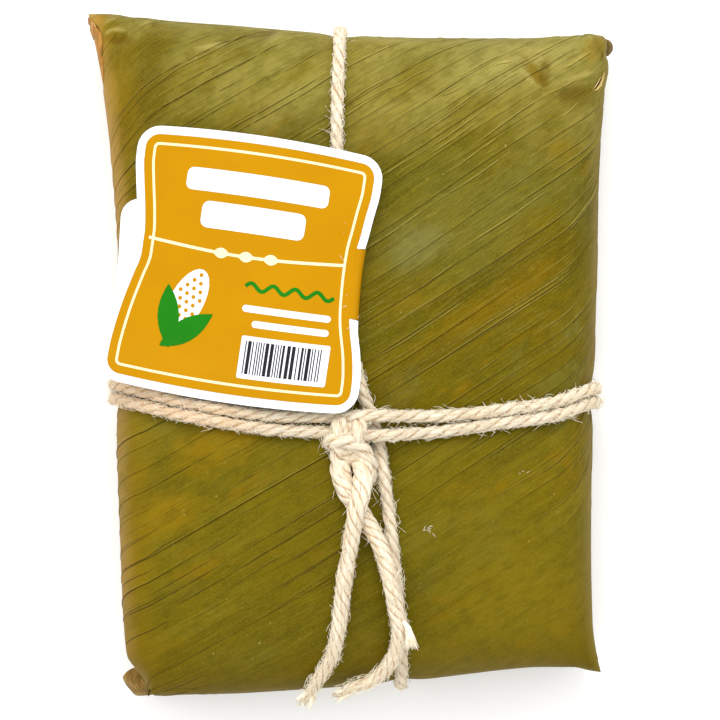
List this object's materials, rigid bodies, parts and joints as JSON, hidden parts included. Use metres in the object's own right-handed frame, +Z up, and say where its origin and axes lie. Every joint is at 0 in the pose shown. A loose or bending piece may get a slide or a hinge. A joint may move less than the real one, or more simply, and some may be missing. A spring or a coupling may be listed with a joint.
{
  "type": "leaf-wrapped tamale",
  "caption": "Rectangular food parcel wrapped in a ribbed green leaf, tied crosswise with natural twine, with a folded die-cut card tag; it lies flat.",
  "frame": {"origin": "on the flat underside, beside the lengthwise twine, near the middle of the parcel", "axes": "+Z up through the shown side with the tag and the knot, +Y along the parcel, away from the end where the loose twine tails hang, +X across it to the right seen from above"},
  "size_m": [0.1359, 0.1809, 0.0484],
  "materials": {
    "leaf": "satin",
    "twine": "matt",
    "card": "matt"
  },
  "bodies": {
    "root": {"leaf_parcel": "leaf", "twine_lengthwise": "twine", "twine_cross_upper": "twine", "twine_cross_lower": "twine", "knot": "twine", "tail_left": "twine", "tail_right": "twine", "tag": "card"}
  },
  "joints": []
}
